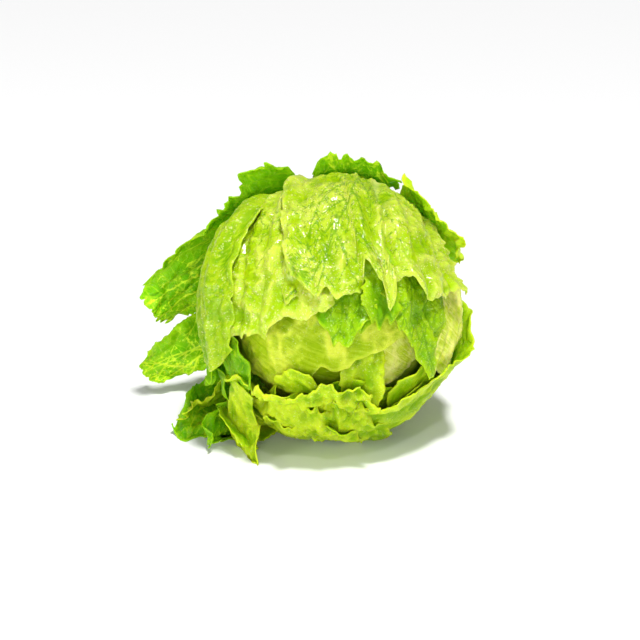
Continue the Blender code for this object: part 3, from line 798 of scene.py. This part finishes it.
def coordinates(mesh):
    values = np.empty(len(mesh.vertices) * 3)
    mesh.vertices.foreach_get("co", values)
    return values.reshape(-1, 3)


def place_vertices(mesh, points):
    mesh.vertices.foreach_set("co", points.ravel())
    mesh.update()


def mark_points(mesh, marks):
    """Keeps named values on the mesh's points, for its material to read."""
    for name, values in marks.items():
        attribute = mesh.attributes.new(name, "FLOAT", "POINT")
        attribute.data.foreach_set("value", np.asarray(values, np.float32).ravel())


def make_leaf(name, leaf):
    """A fine grid, laid as the leaf lies, veined, and given its thickness."""
    spine = Spine(leaf)
    squares = (round((spine.left + spine.right).max() / leaf.cell), round(spine.end / leaf.cell))
    select_nothing()
    bpy.ops.mesh.primitive_grid_add(x_subdivisions=squares[0], y_subdivisions=squares[1], size=2)
    obj = bpy.context.active_object
    mesh = obj.data
    grid = coordinates(mesh)
    order = np.lexsort((grid[:, 1], grid[:, 0]))
    shape = (squares[0] + 1, squares[1] + 1)
    v = (grid[order, 1].reshape(shape) + 1) / 2
    blade = Blade(name, leaf, grid[order, 0].reshape(shape), v)
    gaps = blade.vein_gaps()
    rib = blade.rib()
    vein = ease(3.0, 0.3, gaps)
    blisters = blade.ridges(BLISTER, 2, 0)
    lift = leaf.vein_height * vein + leaf.crease * BLISTER_SHARE * blisters * (1 - vein)
    lift = lift + RIB_HEIGHT * rib * (1 - v)
    points = np.empty_like(grid)
    points[order] = blade.points(lift)
    place_vertices(mesh, points)

    def in_mesh_order(values):
        flat = np.empty(len(grid))
        flat[order] = values.ravel()
        return flat

    marks = {
        "vein": gaps / VEIN_MARKED,
        "rib": rib,
        "margin": ease(PAINTED_GLOW_RIM, 0, blade.to_margin),
        "reach": 0.6 + 0.4 * v if leaf.is_flap else v,
        "relief": 0.5 + 0.25 * blade.relief + 0.15 * blisters,
    }
    mark_points(mesh, {mark: in_mesh_order(values) for mark, values in marks.items()})
    flat = np.stack([in_mesh_order(blade.across), in_mesh_order(blade.along)], axis=1) * FLAT_UNITS
    corners = np.empty(len(mesh.loops), int)
    mesh.loops.foreach_get("vertex_index", corners)
    mesh.uv_layers.active.data.foreach_set("uv", flat[corners].astype(np.float32).ravel())
    thickness = obj.modifiers.new("Thickness", "SOLIDIFY")
    thickness.thickness = BLADE_THICKNESS
    thickness.offset = 0
    bpy.ops.object.modifier_apply(modifier=thickness.name)
    return obj


# ---- Materials


class Value:
    """A shader socket that carries a number; arithmetic on it adds Math nodes."""

    def __init__(self, shader, socket):
        self.shader = shader
        self.socket = socket

    def math(self, operation, *others):
        return Value(self.shader, self.shader.node("Math", {"operation": operation}, dict(enumerate(others))))

    def __add__(self, other):
        return self.math("ADD", self, other)

    def __sub__(self, other):
        return self.math("SUBTRACT", self, other)

    def __rsub__(self, other):
        return self.math("SUBTRACT", other, self)

    def __mul__(self, other):
        return self.math("MULTIPLY", self, other)

    def __truediv__(self, other):
        return self.math("DIVIDE", self, other)

    __radd__ = __add__
    __rmul__ = __mul__

    def clamped(self):
        return self.math("MINIMUM", self.math("MAXIMUM", self, 0.0), 1.0)

    def step(self, low, high):
        """0 at low, 1 at high, straight between."""
        return ((self - low) / (high - low)).clamped()


class Finish:
    """One material, built node by node."""

    def __init__(self, name):
        self.material = bpy.data.materials.new(name)
        self.material.use_nodes = True
        self.tree = self.material.node_tree
        self.principled = self.tree.nodes["Principled BSDF"]

    def node(self, kind, settings, sockets, output=0):
        """Adds a shader node, sets it up, feeds its sockets by name or number, and returns one output."""
        made = self.tree.nodes.new("ShaderNode" + kind)
        for name, value in settings.items():
            setattr(made, name, value)
        self.feed(made, sockets)
        return made.outputs[output]

    def feed(self, node, sockets):
        for key, value in sockets.items():
            if isinstance(value, Value):
                value = value.socket
            if isinstance(value, bpy.types.NodeSocket):
                self.tree.links.new(value, node.inputs[key])
            else:
                node.inputs[key].default_value = value

    def set(self, sockets):
        self.feed(self.principled, sockets)

    def mark(self, name):
        """One of the values that are kept on the mesh's points."""
        return Value(self, self.node("Attribute", {"attribute_name": name}, {}, "Fac"))

    def flat(self):
        """The blade's flat coordinates, in tenths of a metre."""
        return self.node("UVMap", {"uv_map": "UVMap"}, {})

    def noise(self, where, scale, detail=2.0, roughness=0.5, distortion=0.0):
        sockets = {"Vector": where, "Scale": scale, "Detail": detail, "Roughness": roughness}
        return Value(self, self.node("TexNoise", {}, sockets | {"Distortion": distortion}))

    def bent(self, where, scale, detail, amount):
        """The same place, swept aside by soft noise."""
        aside = self.node("TexNoise", {}, {"Vector": where, "Scale": scale, "Detail": detail}, "Color")
        return self.mix(amount, where, aside)

    def edges(self, where, scale, width):
        """1 along the edges of cells and 0 inside them."""
        to_edge = self.node("TexVoronoi", {"feature": "DISTANCE_TO_EDGE"}, {"Vector": where, "Scale": scale})
        return 1 - Value(self, to_edge).step(0.0, width)

    def dots(self, where, scale, full, none):
        """1 in the middle of cells, out to full, and 0 from none outwards."""
        to_middle = self.node("TexVoronoi", {"feature": "F1"}, {"Vector": where, "Scale": scale})
        return 1 - Value(self, to_middle).step(full, none)

    def mix(self, amount, first, second):
        """Blends two colours or places."""
        return self.node("Mix", {"data_type": "RGBA"}, {0: amount, 6: first, 7: second}, 2)

    def bump(self, height, distance, strength, under=None):
        sockets = {"Strength": strength, "Distance": distance, "Height": height}
        if under:
            sockets["Normal"] = under
        return self.node("Bump", {}, sockets)


def leaf_finish(
    name, blade, deep_tone_and_shade, pale, vein, strong, netted, wet, sheen_boost=0.0, lines=0.0, turn=0.0, net_width=0.045
):
    """Waxy leaf: soft patches of colour with painted shade in the hollows of its crumples and a painted sheen
    on their ridges, veins, a fine net between them, a margin paled by a painted glow, and moisture with
    painted glints.

    Strong is how strongly its veins show, netted how strongly the net does. Some finishes get a stronger
    painted sheen, and lines streaks the blade, with the streaks turned by turn.
    """
    blade, deep_tone_and_shade, pale, vein = [(*colour, 1.0) for colour in (blade, deep_tone_and_shade, pale, vein)]
    finish = Finish(name)
    flat = finish.flat()
    near_vein = 1 - finish.mark("vein").step(0.08, 0.20)
    reach = finish.mark("reach")
    relief = finish.mark("relief")

    mottle = finish.noise(flat, 30.0, 4.0, 0.65)
    patches = finish.noise(flat, 4.0, 4.0, 0.6, 0.7)
    # Painted shade: the deep colour goes into the hollows of the crumples, and also into random darker
    # patches.
    shade = (patches * 0.6 + relief * 0.55 + (mottle - 0.5) * 0.5).step(0.38, 0.78)
    colour = finish.mix(shade, deep_tone_and_shade, blade)
    # Painted sheen: the pale colour is laid on the ridges of the crumples.
    painted_sheen = (relief * 0.6 + finish.noise(flat, 8.0, 5.0, 0.7) * 0.8).step(0.74, 1.02)
    colour = finish.mix(painted_sheen * (0.35 + sheen_boost), colour, pale)
    if lines:
        turned = {
            "Vector": finish.bent(flat, 1.7, 1.0, 0.22), "Rotation": (0.0, 0.0, turn),
            "Scale": (1 / 26, 1 / 1.8, 1.0),
        }
        along = finish.node("Mapping", {"vector_type": "TEXTURE"}, turned)
        streaks = finish.noise(along, 3.0, 4.0, 0.65).step(0.46, 0.72)
        colour = finish.mix(streaks * lines, colour, pale)

    bent = finish.bent(flat, 11.0, 2.0, 0.035)
    net = finish.edges(bent, 14.0, net_width)
    fine_net = finish.edges(bent, 34.0, 0.07)
    veins = (near_vein * strong + (net * 0.55 + fine_net * 0.28) * netted).clamped()
    colour = finish.mix(veins, colour, vein)
    rib = finish.mark("rib") * (1 - reach * 1.2).clamped()
    white = (rib + (1 - reach.step(0.0, 0.3)) * 0.5).clamped() * 0.85
    colour = finish.mix(white, colour, (0.70, 0.78, 0.32, 1.0))
    # Painted glow: the colour is paled along the thin margin, standing in for light shining through it.
    colour = finish.mix(finish.mark("margin") * 0.55, colour, pale)

    damp = (finish.noise(flat, 6.0, 3.0, 0.6) * 0.8 + relief * 0.3).step(0.48, 0.60) * wet
    drops = finish.dots(flat, 50.0, 0.12, 0.30)
    beads = finish.dots(flat, 95.0, 0.14, 0.38)
    some = finish.noise(flat, 62.0, 1.0).step(0.44, 0.52)
    # Painted glints: whitish specks are mixed into the colour where drops lie on damp patches; the same drops
    # also get real gloss and bumps.
    drops_and_painted_glints = ((drops * 0.8 + beads * 0.7) * some * damp).clamped()
    colour = finish.mix(drops_and_painted_glints * 0.85, colour, (0.95, 1.0, 0.42, 1.0))

    grain = finish.noise(flat, 130.0, 2.0, 0.6)
    normal = finish.bump(net * 0.6 + fine_net * 0.4, 0.00025, 0.8)
    normal = finish.bump(mottle * 0.75 + grain * 0.25, 0.0011, 0.7, normal)
    normal = finish.bump(drops_and_painted_glints, 0.0005, 0.9, normal)
    finish.set({
        "Base Color": colour,
        "Roughness": (0.50 - damp * 0.22 - drops_and_painted_glints * 0.12).clamped(),
        "Normal": normal,
        "Coat Weight": damp * 0.45 + drops_and_painted_glints * 0.5,
        "Coat Roughness": 0.10,
        "IOR": 1.42,
        "Specular IOR Level": 0.08,
        "Subsurface Weight": 0.55,
        "Subsurface Radius": (0.6, 1.0, 0.06),
        "Subsurface Scale": 0.0026,
    })
    return finish.material


def stem_finish():
    """Cut stem: pale and damp, browned in patches and flecked with strands."""
    finish = Finish("cut stem")
    place = finish.node("TexCoord", {}, {}, "Object")
    strands = finish.noise(place, 420.0, 3.0, 0.6)
    patches = finish.noise(place, 90.0, 4.0, 0.6, 0.8)
    colour = finish.mix(patches.step(0.4, 0.7), (0.52, 0.58, 0.26, 1.0), (0.44, 0.34, 0.13, 1.0))
    colour = finish.mix(strands.step(0.5, 0.7) * 0.5, colour, (0.62, 0.66, 0.36, 1.0))
    finish.set({
        "Base Color": colour,
        "Roughness": 0.52 - strands * 0.1,
        "Normal": finish.bump(strands * 0.6 + patches * 0.4, 0.0006, 0.7),
        "Subsurface Weight": 0.2,
        "Subsurface Radius": (0.8, 1.0, 0.4),
        "Subsurface Scale": 0.004,
    })
    return finish.material


FINISHES = {
    "wrapper": leaf_finish(
        "moist wrapper leaf", blade=(0.38, 0.56, 0.001), deep_tone_and_shade=(0.24, 0.44, 0.0005), pale=(0.64, 0.77, 0.10),
        vein=(0.14, 0.32, 0.001), strong=0.85, netted=0.10, wet=1.0, sheen_boost=0.25,
    ),
    # Painted sheen: this finish pales the ridges most strongly, for the heart's broad whitish sheen.
    "heart": leaf_finish(
        "satin heart leaf", blade=(0.32, 0.48, 0.0005), deep_tone_and_shade=(0.22, 0.37, 0.0002), pale=(0.66, 0.79, 0.06),
        vein=(0.48, 0.62, 0.01), strong=0.22, netted=0.10, wet=0.25, sheen_boost=0.6, lines=0.45, turn=1.15,
    ),
    # Painted shade: darker colours for the inner leaves and lobes that lie under the wrappers.
    "shaded": leaf_finish(
        "inner leaf in painted shade", blade=(0.23, 0.45, 0.0005), deep_tone_and_shade=(0.11, 0.31, 0.0002), pale=(0.46, 0.66, 0.006),
        vein=(0.10, 0.27, 0.0005), strong=0.7, netted=0.25, wet=0.3,
    ),
    "cup": leaf_finish(
        "soft cup leaf", blade=(0.27, 0.45, 0.0005), deep_tone_and_shade=(0.15, 0.32, 0.0002), pale=(0.62, 0.78, 0.02),
        vein=(0.44, 0.58, 0.01), strong=0.30, netted=0.12, wet=0.3, sheen_boost=0.3,
    ),
    "rib": leaf_finish(
        "ribbed heart leaf", blade=(0.54, 0.69, 0.03), deep_tone_and_shade=(0.38, 0.55, 0.003), pale=(0.84, 0.90, 0.26),
        vein=(0.72, 0.82, 0.16), strong=0.25, netted=0.1, wet=0.15, sheen_boost=0.3, lines=0.8, turn=1.45,
    ),
    "band": leaf_finish(
        "outer wrapper leaf", blade=(0.25, 0.44, 0.0008), deep_tone_and_shade=(0.13, 0.32, 0.0004), pale=(0.46, 0.62, 0.02),
        vein=(0.44, 0.60, 0.01), strong=0.6, netted=0.15, wet=0.6, sheen_boost=0.15,
    ),
    # Painted glow: colours lifted so that this thin leaf, whose face lies in shade, looks lit through.
    "bright": leaf_finish(
        "thin leaf with painted glow", blade=(0.42, 0.75, 0.002), deep_tone_and_shade=(0.30, 0.63, 0.001), pale=(0.70, 0.90, 0.03),
        vein=(0.64, 0.88, 0.02), strong=0.6, netted=0.3, wet=0.2, sheen_boost=0.1,
    ),
    "green": leaf_finish(
        "green leaf", blade=(0.13, 0.36, 0.0005), deep_tone_and_shade=(0.06, 0.25, 0.0002), pale=(0.30, 0.55, 0.004),
        vein=(0.36, 0.56, 0.008), strong=0.6, netted=0.40, wet=0.15, net_width=0.08,
    ),
    "outer": leaf_finish(
        "dark outer leaf", blade=(0.20, 0.48, 0.0005), deep_tone_and_shade=(0.11, 0.37, 0.0002), pale=(0.34, 0.60, 0.003),
        vein=(0.62, 0.82, 0.03), strong=0.9, netted=0.55, wet=0.15, net_width=0.08,
    ),
}


# ---- The pieces


def finish_piece(obj, name, material, node=None):
    """Names a piece, gives it its material, hangs it on the root body, and hides the solid that it stands
    for, if any.
    """
    obj.name = obj.data.name = name
    obj.data.materials.clear()
    obj.data.materials.append(material)
    obj.data.shade_smooth()
    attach(obj, "root")
    if node:
        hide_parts(node)


def add_heart():
    """The tight ball under the leaves, faintly uneven from the leaves wound round it."""
    select_nothing()
    bpy.ops.mesh.primitive_uv_sphere_add(segments=192, ring_count=96, radius=HEART_RADIUS)
    obj = bpy.context.active_object
    points = coordinates(obj.data)
    outward = unit(points)
    winding = Waves(5).rough(*(outward * WINDINGS_PER_RADIUS + 4).T)
    place_vertices(obj.data, settle(CENTRE + slump(points) + outward * (WINDING_HEIGHT * winding)[:, None]))
    plain = np.zeros(len(points))
    marks = {"vein": plain + 1, "rib": plain, "margin": plain, "reach": plain + 1}
    mark_points(obj.data, marks | {"relief": 0.5 + 0.4 * winding})
    finish_piece(obj, "heart_ball", FINISHES["heart"], "heart")


def add_stem():
    """The butt, cut off roughly square, with soft ridges down its sides."""
    inner = HEART_RADIUS + HEART_TO_LEAVES / 2
    end = layer_radius(LAST_LAYER) + STEM_STAND_OUT + BLADE_THICKNESS
    select_nothing()
    bpy.ops.mesh.primitive_cylinder_add(vertices=96, radius=STEM_RADIUS, depth=end - inner)
    obj = bpy.context.active_object
    bpy.ops.object.mode_set(mode="EDIT")
    bpy.ops.mesh.select_all(action="SELECT")
    bpy.ops.mesh.subdivide(number_cuts=3)
    bpy.ops.object.mode_set(mode="OBJECT")
    edge = obj.modifiers.new("Edge", "BEVEL")
    edge.width = STEM_CORNER
    edge.segments = 4
    edge.limit_method = "ANGLE"
    bpy.ops.object.modifier_apply(modifier=edge.name)
    points = coordinates(obj.data)
    ridges = Waves(8)(np.arctan2(points[:, 1], points[:, 0]) * 4 + 20, points[:, 2] * 120)
    rough = Waves(9).rough(*(points * 220 + 30).T)
    sideways = np.hypot(points[:, 0], points[:, 1])
    outer_half = points[:, 2] > 0
    points[:, :2] *= (1 - STEM_RIDGE_SHARE + STEM_RIDGE_SHARE * ridges)[:, None]
    points[:, 2] += (STEM_ROUGHNESS * rough - STEM_HOLLOW * bell(sideways, 0, STEM_HOLLOW_WIDTH)) * outer_half
    place_vertices(obj.data, points)
    obj.rotation_euler = (0, math.acos(STEM[2]), math.atan2(STEM[1], STEM[0]))
    obj.location = CENTRE + STEM * (inner + end) / 2
    bpy.ops.object.transform_apply(location=True, rotation=True, scale=True)
    finish_piece(obj, "stem_butt", stem_finish(), "cut_stem")


def add_leaves():
    for name, leaf in LEAVES.items():
        node = None if leaf.is_flap else name
        piece = name.replace("_leaf", "_blade")
        finish_piece(make_leaf(name, leaf), piece, FINISHES[leaf.finish], node)


# ---- Floor, light and camera


def add_floor():
    select_nothing()
    bpy.ops.mesh.primitive_plane_add(size=30)
    floor = bpy.context.active_object
    floor.name = "table"
    finish = Finish("white table")
    finish.set({"Base Color": (0.92, 0.92, 0.92, 1.0), "Roughness": 0.6})
    floor.data.materials.append(finish.material)


def add_lamp(name, place, size, energy):
    """A soft round lamp that shines at the head's centre."""
    light = bpy.data.lights.new(name, "AREA")
    light.shape = "DISK"
    light.size = size
    light.energy = energy
    lamp = bpy.data.objects.new(name, light)
    lamp.location = place
    lamp.rotation_euler = (Vector(CENTRE) - Vector(place)).to_track_quat("-Z", "Y").to_euler()
    bpy.context.scene.collection.objects.link(lamp)


def add_sun(name, place, width, strength):
    """An even light over everything, from the direction of place; width is how wide it looks, in degrees."""
    light = bpy.data.lights.new(name, "SUN")
    light.angle = math.radians(width)
    light.energy = strength
    sun = bpy.data.objects.new(name, light)
    sun.rotation_euler = Vector(place).to_track_quat("Z", "Y").to_euler()
    bpy.context.scene.collection.objects.link(sun)


def add_lights():
    world = bpy.data.worlds.new("white room")
    bpy.context.scene.world = world
    world.use_nodes = True
    background = world.node_tree.nodes["Background"]
    background.inputs["Color"].default_value = (1.0, 1.0, 1.0, 1.0)
    background.inputs["Strength"].default_value = 0.18
    add_sun("overhead key", (0.16, -0.18, 1.0), width=8, strength=3.05)
    add_lamp("front fill", (0.0, -1.5, 0.34), size=0.8, energy=10.5)
    add_lamp("left softbox", (-1.3, -0.9, 0.42), size=0.7, energy=8)
    add_lamp("sparkle lamp", (0.25, -0.75, 1.2), size=0.07, energy=2.5)


def add_camera():
    elevation = math.radians(VIEW_ELEVATION)
    back = Vector((0, -math.cos(elevation), math.sin(elevation)))
    up = Vector((0, math.sin(elevation), math.cos(elevation)))
    aim = Vector(CENTRE) - Vector((AIM_LEFT, 0, 0)) - up * AIM_BELOW
    camera = bpy.data.objects.new("camera", bpy.data.cameras.new("camera"))
    camera.location = aim + back * VIEW_DISTANCE
    camera.rotation_euler = (-back).to_track_quat("-Z", "Y").to_euler()
    camera.data.lens = VIEW_LENS
    bpy.context.scene.collection.objects.link(camera)
    bpy.context.scene.camera = camera
    bpy.context.scene.view_settings.view_transform = "Standard"


add_camera()
add_lights()
add_floor()
add_heart()
add_stem()
add_leaves()
